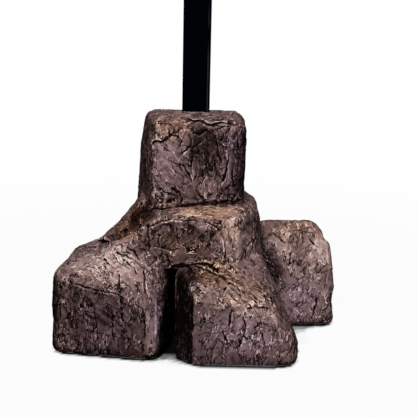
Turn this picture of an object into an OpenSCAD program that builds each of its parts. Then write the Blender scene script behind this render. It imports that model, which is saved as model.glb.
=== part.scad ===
// Resin cave ornament: a hollow rock casting that stands on four block feet round an open cave,
// with a black square post that lifts out of a socket in its neck. Millimetres, +Z up; the origin
// is on the floor under the middle of the rock.

/* [Casting] */
// Thickness of the cast wall
wall = 8; // [6:0.5:9]
// Rounding of the blocks' corners
corner_r = 12; // [11:0.5:14]
// Rounding of the edges that are cut with a knife
edge_r = 4; // [3:0.5:5]
// Rounding of the rim that the casting stands on
rim_r = 5; // [3:0.5:6]
// Lean of the feet's outer faces, from head to rim
batter = 3; // [1:1:6]

/* [Left foot] */
// Middle of the rock to the left foot's outer face
left_reach = 131.5; // [125:0.5:138]
// Middle of the rock to the left foot's front face, forwards
left_front = 96; // [92:1:99]
// How far the front face turns back towards its outer end
left_skew = 11; // [6:1:18]
// Middle of the rock to the left foot's face in the cave mouth, leftwards
left_inner = 29; // [28:0.5:32]
// Height of the outer front corner
left_h = 75; // [68:1:80]
// Height half way along the front edge
left_mid_h = 63; // [56:1:66]
// Height of the corner beside the cave mouth
left_inner_h = 38; // [34:1:46]
// Middle of the rock to the left foot's back face
left_back = 22; // [16:1:26]
// Middle of the rock to the middle of the front edge, leftwards
left_mid = 68; // [62:1:74]
// Height at which the foot's inner side meets the shoulder
left_root_h = 92; // [88:1:96]
// Height of the left foot's back edge
left_back_h = 80; // [74:1:86]
// How far the back edge ends short of the outer face
left_back_inset = 22; // [16:1:28]
// Height of the swell on the outer end of the foot's top
left_swell_h = 82; // [78:1:86]

/* [Front foot] */
// Middle of the rock to the front foot's front face
front_reach = 105; // [101:1:109]
// Width of the front foot's front face
front_w = 97; // [90:1:100]
// Middle of the rock to the front face's left corner, leftwards
front_left = 11.5; // [10:0.5:13]
// Middle of the rock to the front foot's face in the cave mouth, leftwards
front_inner = 22.5; // [21:0.5:23]
// Height of the front edge's left end
front_h = 61; // [54:1:64]
// Height of the front edge's right end
front_low_h = 33; // [28:1:38]
// Height at which the foot's top meets the shoulder
front_root_h = 79; // [74:1:82]
// Middle of the rock to the top of the ridge on the foot's right, rightwards
front_ridge_x = 43.5; // [42:0.5:45]
// Height of the top of the ridge
front_ridge_h = 94; // [90:1:98]
// Length of the level part of the front edge
front_level = 22; // [14:1:28]

/* [Right foot] */
// Middle of the rock to the right foot's outer face
right_reach = 131.5; // [125:0.5:138]
// Middle of the rock to the right foot's front face, forwards
right_front = 11; // [8:1:13]
// Depth of the right foot, front to back
right_d = 52; // [48:1:56]
// Middle of the rock to the front face's near end, rightwards
right_near = 59.5; // [58:0.5:62]
// Height of the right foot's back edge
right_h = 95; // [90:1:100]
// Height of the right foot's front edge
right_toe_h = 68; // [60:1:74]
// How far the outer face leans out, from head to rim
right_batter = 12; // [8:1:14]
// Height of the swell on the outer end of the foot's top
right_swell_h = 86; // [82:1:90]
// Depth of the groove down the foot's top
groove_d = 3; // [2:0.5:4]

/* [Rear foot] */
// Middle of the rock to the rear foot's back face
rear_reach = 105; // [101:1:109]
// Width of the rear foot's back face
rear_w = 72; // [66:1:78]
// Height of the rear foot's back edge
rear_h = 56; // [50:1:62]
// Width between the ridges that run up to the neck
rear_root_w = 40; // [36:1:44]
// Height at which the rear foot meets the shoulder
rear_root_h = 108; // [104:1:112]

/* [Shoulder] */
// Middle of the rock to the shoulder's front face, forwards
shoulder_front = 64; // [61:1:66]
// Half the width of the shoulder's front face
shoulder_half = 37.5; // [36.5:0.5:39]
// Middle of the rock to the shoulder's right face
shoulder_right = 52.5; // [51:0.5:54]
// Middle of the rock to the shoulder's left face
shoulder_left = 60; // [58:0.5:62]
// Middle of the rock to the shoulder's back face
shoulder_rear = 53; // [51:0.5:54]
// Height of the shoulder under the neck
shoulder_h = 130; // [127:1:132]
// How far the ledge falls from the neck to the shoulder's front edge
ledge_fall = 9; // [5:1:12]
// Height of the cave mouths under the shoulder
mouth_h = 74; // [68:1:76]
// Depth of the round recess in the shoulder's front
recess_d = 5; // [3:0.5:6]
// Half the width of the recess
recess_r = 30; // [26:1:32]
// Middle of the rock to the edge between the shoulder's front and its right side, rightwards
facet_right = 34; // [32:0.5:36]
// Depth of the notch between the left foot and its flank
notch_d = 4; // [3:0.5:5]

/* [Neck] */
// Width of the neck's front face
neck_w = 88; // [82:1:90]
// Depth of the neck, front to back
neck_d = 86; // [82:1:90]
// Height of the neck's crown above the floor
neck_top = 209; // [202:1:218]
// How far the neck's top falls from the crown to its edges
crown_fall = 4; // [2:0.5:6]
// How much further out the neck's back left corner stands than its front one
neck_flare = 16; // [10:1:20]
// Depth of the long dent down the neck's front
dent_d = 3.5; // [2:0.5:4.5]
// Depth of the dents in the neck's back and right side
side_dent_d = 2.5; // [1.5:0.5:3.5]

/* [Post] */
// Width of the square post
post_w = 25; // [22:0.5:28]
// Wall of the square tube
tube_wall = 2; // [1.5:0.1:2.5]
// Rounding of the tube's corners
tube_r = 3; // [2.6:0.1:3.6]
// Height of the post's top above the floor
post_top = 340; // [300:5:420]
// Thickness of the plugs' heads
plug_head = 3; // [2:0.5:4]
// Length of the plugs inside the tube
plug_len = 12; // [8:1:16]

/* [Socket] */
// Wall of the socket
socket_wall = 2.2; // [1.8:0.1:2.6]
// Gap on each side of the post in its socket
post_gap = 0.3; // [0.2:0.05:0.4]
// Width of the flange under the neck
flange_w = 62; // [58:1:66]
// Thickness of the flange
flange_t = 3; // [2.5:0.5:4]
// Distance between the screws
screw_pitch = 48; // [45:1:50]
// Diameter of the screws
screw_d = 4; // [3.5:0.5:4.5]
// Length of the screws under the head
screw_len = 15; // [12:1:18]
// Diameter of the drain hole
drain_d = 6; // [4:1:8]

/* [Pads] */
// Diameter of the pads
pad_d = 16; // [14:1:18]
// Thickness of the pads
pad_t = 3; // [2.5:0.5:4]
// How far the pads stand out below the casting's rim
pad_proud = 1.5; // [1:0.25:2]
// Diameter of the pads' stems
stem_d = 8; // [6:0.5:9]
// Length of the pads' stems
stem_len = 8; // [6:1:10]

/* [Hidden] */
outer_fn = 24;
inner_fn = 16;
round_fn = 48;
dent_fn = 32;

// The post stands a little left of the middle.
post_x = -8.3;

// Fits between the pieces.
bond_gap = 0.15;
screw_gap = 0.05;
stem_gap = 0.1;
plug_gap = 0.15;
lip_gap = 0.5;
flange_gap = 0.3;

// Heights inside the neck.
ceiling = 110;
seat_depth = 1.5;
seat = ceiling + seat_depth;
lip_t = 4;
socket_top = neck_top - crown_fall - lip_t;
socket_w = post_w + 2 * (post_gap + socket_wall);
tube_bottom = seat + plug_head;
tube_top = post_top - plug_head;
tube_bore = post_w - 2 * tube_wall;

// The pads' places, and the bosses that hold them.
boss_r = pad_d / 2 + 4.5;
toe_inset = 19;
pad_places = [
    [-left_reach + toe_inset + batter, -left_front + left_skew + toe_inset],
    [front_w / 2 - front_left, -front_reach + toe_inset],
    [right_reach - toe_inset - batter, -right_front + toe_inset + batter],
    [post_x, rear_reach - toe_inset]];
drill_len = 3;

// Screw heads and their cross recesses.
head_t = 2.6;
recess_w = 0.9;

// The lines that several blocks share, left to right and front to back.
crown_x = 28;
seam_x = -42;
seam_y = -30;
cheek_y = -26;
cheek_back_y = 32;
hip_y = -14;
fork_y = -40;

// A block is a list of corners [x, y, height, lean x, lean y]; the lean is how far its rim stands
// out from its head.
neck_shift = 6;
neck_left = -neck_w / 2 - neck_shift;
neck_right = neck_left + neck_w;
neck_edge_h = neck_top - crown_fall;
neck_hip_h = 176;
neck_corners = [
    [neck_left + corner_r + 1, -neck_d / 2 + corner_r, neck_edge_h, 0, 0],
    [neck_right - corner_r, -neck_d / 2 + corner_r, neck_edge_h, -1, 0],
    [neck_right - corner_r, neck_d / 2 - corner_r, neck_edge_h, 0, 0],
    [neck_left + corner_r - neck_flare / 2, neck_d / 2 - corner_r, neck_edge_h, -neck_flare / 2, 0],
    [neck_left + corner_r - neck_flare * 0.8, neck_d / 2 - corner_r, neck_hip_h, -neck_flare / 5, 0],
    [neck_left + corner_r + crown_fall, -corner_r, neck_top, 0, 0],
    [neck_right - corner_r - crown_fall, -corner_r, neck_top, 0, 0]];

shoulder_edge_h = shoulder_h - ledge_fall;
shoulder_cheek_h = shoulder_h - 6;
recess_y = -shoulder_front + corner_r + recess_d;
recess_h = 92;
recess_ends = [-22, -9];
shoulder_knife_y = -shoulder_front + edge_r;
shoulder_edges = [
    [-shoulder_half + edge_r, shoulder_knife_y, shoulder_edge_h - 2, 0, 0],
    [facet_right - edge_r, shoulder_knife_y, shoulder_edge_h + 2, 0, 0]];
shoulder_corners = [
    [-shoulder_half + 2, recess_y, shoulder_edge_h - 2, 0, 0],
    [crown_x, recess_y, shoulder_edge_h, 0, 0],
    [shoulder_right - corner_r, cheek_y, shoulder_cheek_h, 0, 0],
    [shoulder_right - corner_r, cheek_back_y, shoulder_cheek_h, 0, 0],
    [crown_x, seam_y, shoulder_h + 2, 0, 0],
    [seam_x, seam_y, shoulder_h, 0, 0],
    [crown_x, shoulder_rear - corner_r, shoulder_h, 0, 0],
    [-shoulder_left + corner_r, shoulder_rear - corner_r, shoulder_h, 0, 0],
    [-shoulder_left + corner_r, hip_y, shoulder_h, 0, 0]];

// The cave under the shoulder has a level ceiling.
cave_h = ceiling + wall;
cave_corners = [
    [-shoulder_half + 1, recess_y, cave_h, 0, 0],
    [crown_x, recess_y, cave_h, 0, 0],
    [shoulder_right - corner_r, seam_y - 6, cave_h, 0, 0],
    [shoulder_right - corner_r, cheek_back_y, cave_h, 0, 0],
    [crown_x, shoulder_rear - corner_r, cave_h, 0, 0],
    [-shoulder_left + corner_r, shoulder_rear - corner_r, cave_h, 0, 0],
    [-shoulder_left + corner_r, hip_y, cave_h, 0, 0]];

// The edge right of the recess runs down into the front foot.
buttress_edges = [[facet_right - edge_r, shoulder_knife_y, shoulder_edge_h, 0, 0]];
buttress_corners = [
    [crown_x, seam_y - 6, shoulder_edge_h + 3, 0, 0],
    [shoulder_right - corner_r, cheek_y, shoulder_edge_h - 4, 0, 0],
    [front_ridge_x, fork_y, front_ridge_h, 0, 0]];

// The left foot's front face turns back towards its outer end and is highest there.
left_edge_y = -left_front + corner_r;
left_root_y = -42;
left_swell_y = -20;
left_knife_y = -left_front + edge_r;
left_back_lean = 7;
left_edges = [
    [-left_reach + corner_r + batter, left_knife_y + left_skew, left_h - 3, -batter, 0],
    [-left_mid, left_knife_y + batter, left_mid_h - 2, 0, 0],
    [-left_inner - corner_r - 9, left_knife_y, left_inner_h + 13, 0, 0]];
left_corners = [
    [-left_reach + corner_r + batter, left_edge_y + left_skew + left_back_lean, left_h, -batter, -left_back_lean],
    [-left_mid, left_edge_y + batter, left_mid_h, 0, 0],
    [-left_inner - corner_r - 5, left_edge_y, left_inner_h, 0, 0],
    [-left_inner - corner_r, left_edge_y + 16, left_mid_h, 0, 0],
    [-left_inner - corner_r, left_root_y, left_root_h, 0, 0],
    [-left_reach + corner_r + 3 * batter, left_swell_y, left_swell_h, -2 * batter, 0],
    [-left_reach + corner_r + left_back_inset, left_back - corner_r, left_back_h, -batter, 0],
    [-shoulder_left + corner_r, left_back - corner_r, left_back_h, 0, 0]];

// The front foot's top falls from its ridge to the rim at the right.
front_edge_y = -front_reach + corner_r;
front_right = front_w - front_left;
front_toe_y = -62;
front_root_y = -50;
front_root_d = 16;
front_knife_y = -front_reach + edge_r;
front_edges = [
    [-front_left + corner_r - 2, front_knife_y, front_h + 1, 0, 0],
    [-front_left + corner_r + front_level / 2, front_knife_y, front_h - 1, 0, 0],
    [front_right - corner_r - front_level / 2, front_knife_y, front_low_h + 9, 0, 0],
    [-front_inner + edge_r + 2, front_edge_y + edge_r, 3 * edge_r, 0, 0]];
front_corners = [
    [-front_left + corner_r, front_edge_y, front_h, 0, 0],
    [-front_left + corner_r + front_level, front_edge_y, front_h, 0, 0],
    [front_right - corner_r - batter, front_edge_y + 2, front_low_h, batter, 0],
    [front_right - corner_r, front_toe_y, front_low_h - 6, 4, 0],
    [-front_inner + corner_r, front_root_y - front_root_d, front_root_h, 0, 0],
    [-front_inner + corner_r, front_root_y, front_root_h, 0, 0],
    [front_ridge_x, fork_y, front_ridge_h, 0, 0]];

right_edge_y = -right_front + corner_r;
right_back_y = -right_front + right_d - corner_r;
right_swell_y = 18;
right_corners = [
    [right_near + corner_r, right_edge_y, right_toe_h, 0, 0],
    [right_reach - corner_r - 8, right_edge_y + batter, right_toe_h, 8, 0],
    [right_reach - corner_r - 8, right_swell_y, right_swell_h, 8, 0],
    [right_reach - corner_r - right_batter - 4, right_back_y, right_h, right_batter, 0],
    [shoulder_right - corner_r, right_back_y, right_h, 0, 0]];

rear_root_y = 46;
rear_corners = [
    [post_x - rear_w / 2 + corner_r, rear_reach - corner_r, rear_h, 0, 0],
    [post_x + rear_w / 2 - corner_r, rear_reach - corner_r, rear_h, 0, 0],
    [post_x + rear_root_w / 2, rear_root_y, rear_root_h, 0, 0],
    [post_x - rear_root_w / 2, rear_root_y, rear_root_h, 0, 0]];

// The left foot sweeps up to the neck in a hollow curve: back and front corners, station by station.
flank_back_y = -10;
flank_rows = [
    [[-49.5, flank_back_y, 133, 0, 0], [-43.5, -38, 124, 0, 0]],
    [[-60.5, flank_back_y, 119, 0, 0], [-56.5, -44, 109, 0, 0]],
    [[-73.5, flank_back_y, 104, 0, 0], [-71.5, -50, 95, 0, 0]],
    [[-89.5, flank_back_y, 90, 0, 0], [-87.5, -56, 80, 0, 0]]];

// Dents pressed into the master with a round-ended stick: both ends of the dent on the surface, the
// way out of the surface, the stick's radius, and the depth.
dents = [
    [[5, -neck_d / 2, 180], [2, -neck_d / 2, 160], [0, -1, 0], 60, dent_d],
    [[neck_right, -4, 182], [neck_right, 10, 154], [1, 0, 0], 48, side_dent_d],
    [[-26, neck_d / 2, 160], [10, neck_d / 2, 180], [0, 1, 0], 50, side_dent_d],
    [[95, 4, 75], [97, 18, 88], [0, -0.69, 0.72], 24, groove_d],
    [[-90, -24, 87], [-70, -44, 98], [-0.45, -0.35, 0.82], 6, notch_d]];

// The rounded post of material under one corner, down to a rounded rim.
module outer_peg(corner, base, r = corner_r) {
    rim = min(rim_r, r - 1);
    translate([corner[0], corner[1], corner[2] - r]) sphere(r, $fn = outer_fn);
    for (turn = [0, 45, 90])
        translate([corner[0] + corner[3], corner[1] + corner[4], base + rim * (1 - cos(turn))])
            cylinder(h = 0.1, r = r - rim * (1 - sin(turn)), $fn = outer_fn);
}

module outer_block(corners, base, edges = []) {
    hull() {
        for (corner = corners) outer_peg(corner, base);
        for (edge = edges) outer_peg(edge, base, edge_r);
    }
}

// The hollow under one block: the same corners, a wall's thickness further in.
module inner_peg(corner) {
    translate([corner[0], corner[1], corner[2] - corner_r]) sphere(corner_r - wall, $fn = inner_fn);
    translate([corner[0] + corner[3], corner[1] + corner[4], -1])
        cylinder(h = 0.1, r = corner_r - wall, $fn = inner_fn);
}

module inner_block(corners) {
    hull() for (corner = corners) inner_peg(corner);
}

module flank() {
    for (i = [0 : len(flank_rows) - 2]) hull()
        for (corner = concat(flank_rows[i], flank_rows[i + 1])) outer_peg(corner, left_inner_h);
}

module dent(ends, way, r, depth) {
    hull() for (end = ends) translate(end + way * (r - depth)) sphere(r, $fn = dent_fn);
}

// The round recess scooped out of the shoulder's front.
module recess() {
    ball = (recess_r * recess_r + recess_d * recess_d) / (2 * recess_d);
    ends = [for (x = recess_ends) [x, -shoulder_front, recess_h]];
    dent(ends, [0, -1, 0], ball, recess_d);
}

module square_bar(w, h) {
    translate([-w / 2, -w / 2, 0]) cube([w, w, h]);
}

module rounded_bar(w, r, h) {
    translate([-w / 2 + r, -w / 2, 0]) cube([w - 2 * r, w, h]);
    translate([-w / 2, -w / 2 + r, 0]) cube([w, w - 2 * r, h]);
    for (x = [-1, 1], y = [-1, 1])
        translate([x * (w / 2 - r), y * (w / 2 - r), 0]) cylinder(h = h, r = r, $fn = round_fn);
}

module at_screws() {
    for (x = [-1, 1], y = [-1, 1])
        translate([post_x + x * screw_pitch / 2, y * screw_pitch / 2, 0]) children();
}

module rock_shell() {
    color([0.42, 0.33, 0.31]) difference() {
        union() {
            outer_block(neck_corners, ceiling);
            difference() {
                union() {
                    outer_block(shoulder_corners, mouth_h, shoulder_edges);
                    outer_block(buttress_corners, mouth_h, buttress_edges);
                }
                recess();
            }
            outer_block(left_corners, pad_proud, left_edges);
            outer_block([for (i = [1 : len(front_corners) - 1]) front_corners[i]], pad_proud, front_edges);
            outer_block(right_corners, pad_proud);
            outer_block(rear_corners, pad_proud);
            flank();
        }
        for (mark = dents) dent([mark[0], mark[1]], mark[2], mark[3], mark[4]);
        difference() {
            union() {
                inner_block(cave_corners);
                inner_block(left_corners);
                inner_block(front_corners);
                inner_block(right_corners);
                inner_block(rear_corners);
            }
            for (place = pad_places)
                translate([place[0], place[1], pad_t]) cylinder(h = ceiling, r = boss_r, $fn = outer_fn);
        }
        for (place = pad_places)
            translate([place[0], place[1], 0]) {
                cylinder(h = pad_t + stem_len + drill_len, d = stem_d + 2 * stem_gap, $fn = outer_fn);
                cylinder(h = pad_t, r = boss_r, $fn = outer_fn);
            }
        translate([post_x, 0, ceiling - 1]) {
            square_bar(flange_w + 2 * bond_gap, seat - ceiling + 1);
            square_bar(socket_w + 2 * bond_gap, socket_top + bond_gap - ceiling + 1);
            square_bar(post_w + 2 * lip_gap, neck_top);
        }
        at_screws() translate([0, 0, ceiling])
            cylinder(h = screw_len + drill_len, d = screw_d + 2 * screw_gap, $fn = outer_fn);
    }
}

// Square cup with a floor and a flange, pushed up into the neck from below.
module post_socket() {
    color([0.13, 0.13, 0.14]) difference() {
        union() {
            translate([post_x, 0, seat - flange_t]) square_bar(flange_w, flange_t);
            translate([post_x, 0, seat - flange_t]) square_bar(socket_w, socket_top - seat + flange_t);
        }
        translate([post_x, 0, seat]) square_bar(post_w + 2 * post_gap, neck_top);
        translate([post_x, 0, ceiling - flange_t]) cylinder(h = 2 * flange_t, d = drain_d, $fn = round_fn);
        at_screws() translate([0, 0, ceiling - flange_t])
            cylinder(h = 2 * flange_t, d = screw_d + 2 * flange_gap, $fn = round_fn);
    }
}

// Pan-head screws that hold the flange up against the neck.
module socket_screws() {
    color([0.62, 0.62, 0.60]) at_screws() translate([0, 0, seat - flange_t]) {
        cylinder(h = screw_len, d = screw_d, $fn = round_fn);
        difference() {
            translate([0, 0, -head_t]) cylinder(h = head_t, d1 = screw_d * 1.6, d2 = screw_d * 2, $fn = round_fn);
            for (turn = [0, 90]) rotate(turn)
                translate([-screw_d / 2, -recess_w / 2, -head_t]) cube([screw_d, recess_w, head_t / 2]);
        }
    }
}

module post_tube() {
    color([0.06, 0.06, 0.07]) translate([post_x, 0, tube_bottom]) difference() {
        rounded_bar(post_w, tube_r, tube_top - tube_bottom);
        translate([0, 0, -1]) square_bar(tube_bore, tube_top - tube_bottom + 2);
    }
}

// Push-in plug: a head as wide as the tube and a hollow stub inside it.
module plug() {
    difference() {
        union() {
            rounded_bar(post_w, tube_r, plug_head);
            square_bar(tube_bore - 2 * plug_gap, plug_head + plug_len);
        }
        translate([0, 0, plug_head]) square_bar(tube_bore - 2 * plug_gap - 2 * tube_wall, plug_len + 1);
    }
}

module post_top_plug() {
    color([0.05, 0.05, 0.05]) translate([post_x, 0, post_top]) mirror([0, 0, 1]) plug();
}

module post_bottom_plug() {
    color([0.05, 0.05, 0.05]) translate([post_x, 0, seat]) plug();
}

// Rubber button with a stem that is pushed up into a hole in its boss.
module pad(place) {
    color([0.10, 0.10, 0.10]) translate([place[0], place[1], 0]) {
        cylinder(h = pad_t, d = pad_d, $fn = round_fn);
        cylinder(h = pad_t + stem_len, d = stem_d, $fn = round_fn);
    }
}

module pad_left() { pad(pad_places[0]); }
module pad_front() { pad(pad_places[1]); }
module pad_right() { pad(pad_places[2]); }
module pad_rear() { pad(pad_places[3]); }

rock_shell();
post_socket();
socket_screws();
post_tube();
post_top_plug();
post_bottom_plug();
pad_left();
pad_front();
pad_right();
pad_rear();
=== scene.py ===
import math

import bpy
import numpy as np
from mathutils import Matrix, Vector
from mathutils.bvhtree import BVHTree


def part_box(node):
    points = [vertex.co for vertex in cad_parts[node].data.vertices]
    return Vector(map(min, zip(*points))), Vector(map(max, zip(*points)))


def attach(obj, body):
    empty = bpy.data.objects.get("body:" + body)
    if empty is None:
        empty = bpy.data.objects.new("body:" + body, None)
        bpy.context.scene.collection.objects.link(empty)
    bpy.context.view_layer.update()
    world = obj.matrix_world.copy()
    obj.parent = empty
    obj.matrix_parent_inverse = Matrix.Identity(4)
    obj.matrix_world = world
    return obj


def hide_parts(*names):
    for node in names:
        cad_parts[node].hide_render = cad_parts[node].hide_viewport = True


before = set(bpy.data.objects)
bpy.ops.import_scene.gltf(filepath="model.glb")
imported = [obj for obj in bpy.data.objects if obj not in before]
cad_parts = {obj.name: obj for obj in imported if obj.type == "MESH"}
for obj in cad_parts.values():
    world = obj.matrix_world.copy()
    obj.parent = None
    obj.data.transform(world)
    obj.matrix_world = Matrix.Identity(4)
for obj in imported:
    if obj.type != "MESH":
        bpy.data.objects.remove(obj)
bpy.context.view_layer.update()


# Rock casting: a hollow shell of cast polyresin that is given its stone look in the clay master.
# The master is built up in blocks, its corners are rubbed round, and a stiff skin is then trowelled
# and torn over it, which leaves flakes with one standing edge and short dry cracks.
MM = 0.001
GRAIN = 1.0 * MM  # spacing of the sculpted skin
RUB = 0.5  # share by which one pass of rubbing moves a point to the middle of its neighbours
SPRING = 0.53  # share by which the next pass lets it spring back, so that the block doesn't shrink
STOP = 0.4  # millimetres over which a push fades out at the straight sides of the block

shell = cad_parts["rock_shell"]
rock_low, rock_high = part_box("rock_shell")
well_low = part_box("post_socket")[0]
post_low, post_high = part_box("post_tube")


def skinned(node, grain):
    """A copy of a node as one even skin of small faces."""
    copy = bpy.data.objects.new("cast_rock", node.data.copy())
    bpy.context.scene.collection.objects.link(copy)
    remesh = copy.modifiers.new("skin", "REMESH")
    remesh.mode = "VOXEL"
    remesh.voxel_size = grain
    remesh.use_smooth_shade = True
    graph = bpy.context.evaluated_depsgraph_get()
    mesh = bpy.data.meshes.new_from_object(copy.evaluated_get(graph))
    copy.modifiers.clear()
    copy.data = mesh
    return copy


class Clay:
    """The points of a skin in millimetres, with the moves that a modelling tool makes on them."""

    def __init__(self, piece):
        self.piece = piece
        mesh = piece.data
        flat = np.zeros(len(mesh.vertices) * 3)
        mesh.vertices.foreach_get("co", flat)
        self.at = flat.reshape(-1, 3) / MM
        ends = np.zeros(len(mesh.edges) * 2, int)
        mesh.edges.foreach_get("vertices", ends)
        self.ends = ends.reshape(-1, 2)
        self.degree = np.bincount(ends, minlength=len(self.at))
        self.write()

    def around(self, values):
        """The mean of a value, or of each column of it, over the neighbours of every point."""
        a, b = self.ends.T
        if values.ndim == 2:
            return np.stack([self.around(column) for column in values.T], 1)
        total = np.bincount(a, values[b], len(values)) + np.bincount(b, values[a], len(values))
        return total / self.degree

    def softened(self, values, passes):
        """A value rubbed out over its surroundings."""
        for _ in range(passes):
            values = values + RUB * (self.around(values) - values)
        return values

    def rub(self, passes, share):
        """Rounds the corners without shrinking the block, by as much as share says at each point."""
        for turn in range(passes):
            step = -SPRING if turn % 2 else RUB
            self.at = self.at + step * share[:, None] * (self.around(self.at) - self.at)
        self.write()

    def push(self, height):
        """Raises the skin along its own normals, and softly stops it at the sides of the casting."""
        for axis in range(3):
            side = np.where(self.out[:, axis] > 0, rock_high[axis], -rock_low[axis]) / MM
            room = side - np.sign(self.out[:, axis]) * self.at[:, axis]
            room = np.maximum(room, 0) / (abs(self.out[:, axis]) + 1e-3)
            soft = np.log1p(np.exp(np.minimum((room - height) / STOP, 30)))
            height = np.minimum(height, room - STOP * soft)
        self.at = self.at + self.out * height[:, None]
        self.write()

    def write(self):
        """Moves the piece's points to where they are now, and reads the normals of the skin."""
        mesh = self.piece.data
        mesh.vertices.foreach_set("co", (self.at * MM).ravel())
        mesh.update()
        flat = np.zeros(len(self.at) * 3)
        mesh.vertices.foreach_get("normal", flat)
        self.out = flat.reshape(-1, 3)


def ramp(values, start, end):
    """0 at start and 1 at end, with a soft beginning and end."""
    t = np.clip((values - start) / (end - start), 0, 1)
    return t * t * (3 - 2 * t)


def lumps(at, size, seed):
    """Smooth random lumps between -1 and 1, about one size apart."""
    cell = np.floor(at / size)
    within = at / size - cell
    cell = cell.astype(np.int64)
    fade = within**3 * (within * (within * 6 - 15) + 10)
    total = np.zeros(len(at))
    for corner in np.ndindex(2, 2, 2):
        x, y, z = (cell + corner).T.astype(np.uint32)
        mix = x * np.uint32(374761393) + y * np.uint32(668265263) + z * np.uint32(2246822519)
        mix = (mix + np.uint32(seed * 97)) * np.uint32(1274126177)
        mix = (mix ^ (mix >> np.uint32(13))) * np.uint32(2654435761)
        mix = mix ^ (mix >> np.uint32(16))
        slope = np.stack([(mix >> np.uint32(shift)) & np.uint32(1023) for shift in (0, 10, 20)], 1)
        lean = ((slope / 511.5 - 1) * (within - corner)).sum(1)
        total += lean * np.prod(np.where(corner, fade, 1 - fade), 1)
    return np.clip(total * 1.6, -1, 1)


def stroke(clay, points, reach):
    """Distance from a line of tool marks, and which side of it, for the points within reach of it."""
    line = np.array(points, float)
    low, high = line.min(0) - reach, line.max(0) + reach
    near = np.nonzero(((clay.at > low) & (clay.at < high)).all(1))[0]
    at, out = clay.at[near], clay.out[near]
    best = np.full(len(near), 1e9)
    side = np.zeros(len(near))
    for start, end in zip(line[:-1], line[1:]):
        along = end - start
        share = np.clip((at - start) @ along / (along @ along), 0, 1)
        offset = at - start - share[:, None] * along
        away = np.linalg.norm(offset, axis=1)
        turn = (np.cross(along, offset) * out).sum(1)
        closer = away < best
        best = np.where(closer, away, best)
        side = np.where(closer, np.sign(turn), side)
    return near, best, side


rock = skinned(shell, GRAIN)
clay = Clay(rock)


def patch(centre, radii, shaken=0.0, firm=0.55):
    """A soft patch of the skin, 1 within the firm share of its radii and 0 outside them."""
    away = np.linalg.norm((clay.at + shaken - np.array(centre)) / np.array(radii), axis=1)
    return 1 - ramp(away, firm, 1.1 - 0.2 * firm)


# The socket's well, the lip round the post and the seats of the pads keep the size of the casting.
post_x = (post_low.x + post_high.x) / 2 / MM
post_half = (post_high.x - post_low.x) / 2 / MM
seat_z = well_low.z / MM
from_post = np.maximum(abs(clay.at[:, 0] - post_x), abs(clay.at[:, 1]))
well = (1 - ramp(from_post, post_half + 3, post_half + 11)) * ramp(clay.at[:, 2], seat_z - 4, seat_z)
seats = np.zeros(len(clay.at))
PADS = ("pad_left", "pad_front", "pad_right", "pad_rear")
for pad in PADS:
    pad_low, pad_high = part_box(pad)
    centre = (pad_low + pad_high) / 2 / MM
    reach = np.hypot(clay.at[:, 0] - centre.x, clay.at[:, 1] - centre.y)
    seats = np.maximum(seats, (1 - ramp(reach, 12, 16)) * (clay.at[:, 2] < pad_high.z / MM + 3))
free = (1 - well) * (1 - seats)
CORNER_PASSES, FLANK_PASSES = 12, 120
clay.rub(CORNER_PASSES, free)

# The flank of the left foot is dragged on across the shoulder, without a step between them.
flank_side = free * (clay.at[:, 2] > 80) * (clay.at[:, 1] < -40)
flank_swell = 3.5 * patch((-47, -54, 100), (10, 14, 24)) - 4.5 * patch((-33, -64, 100), (15, 12, 26))
clay.push(flank_side * flank_swell)
clay.rub(FLANK_PASSES, free * patch((-42, -54, 98), (20, 20, 34)))

# The front foot's face is cut back at its left, which leaves an upright edge.
FACE_EDGE = -5.5  # where that edge stands, in millimetres along x
FACE_SLANT = 0.8  # how far back the cut goes for each millimetre to the left of it
cut_back = np.clip(FACE_EDGE - clay.at[:, 0], 0, 12) * (clay.at[:, 0] > -30) * (clay.at[:, 1] < -60)
on_face = free * ramp(-clay.out[:, 1], 0.1, 0.6)
cut_back *= on_face * (1 - ramp(clay.at[:, 2], 58, 74)) * ramp(clay.at[:, 2], 4, 14)
clay.at[:, 1] += FACE_SLANT * cut_back
clay.write()

# A thin flash of resin hangs under the rim, just clear of the floor.
HANG = 0.6
clay.at[:, 2] -= HANG * (1 - seats) * (1 - ramp(clay.at[:, 2], 2, 7))
clay.write()

# The skin sees the sky outside, and where it sees little of it, it gets painted shade. Inside the shell it
# stays the plain, brushed back of the casting, painted near black as painted shade.
OVERHEAD = 220  # a ray this long, in millimetres, leaves the casting from anywhere
UP_RAYS = [(0, 0, 1)]
for turn in range(8):
    for lean in (35, 62):
        angle = math.radians(45 * turn + lean)
        flat, tall = math.sin(math.radians(lean)), math.cos(math.radians(lean))
        UP_RAYS.append((flat * math.cos(angle), flat * math.sin(angle), tall))
tree = BVHTree.FromPolygons(clay.at.tolist(), [tuple(face.vertices) for face in rock.data.polygons])
sample = np.random.default_rng(4).permutation(len(clay.at))[: len(clay.at) // 4]
sky_sum, sky_count = np.zeros(len(clay.at)), np.zeros(len(clay.at))
for index in sample:
    out = Vector(clay.out[index])
    start = Vector(clay.at[index]) + out * 0.8
    seen = tried = 0.0
    for ray in UP_RAYS:
        weight = out.dot(ray)
        if weight > 0:
            tried += weight
            seen += weight * (tree.ray_cast(start, ray, OVERHEAD)[0] is None)
    sky_count[index] = 1
    if tried:
        sky_sum[index] = seen / tried
    else:
        sky_sum[index] = float(tree.ray_cast(start, UP_RAYS[0], OVERHEAD)[0] is None) * 0.4
for _ in range(8):
    sky_sum = clay.around(sky_sum) * 0.5 + sky_sum * 0.5
    sky_count = clay.around(sky_count) * 0.5 + sky_count * 0.5
sky = sky_sum / np.maximum(sky_count, 1e-6)
covered = np.array(
    [
        tree.ray_cast(Vector(point) + Vector(out) * 0.6, UP_RAYS[0], OVERHEAD)[0] is not None
        for point, out in zip(clay.at, clay.out)
    ]
)
inside = clay.softened(covered.astype(float) * (sky < 0.3), 6)
outside = ramp(1 - inside, 0.35, 0.8)

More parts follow.
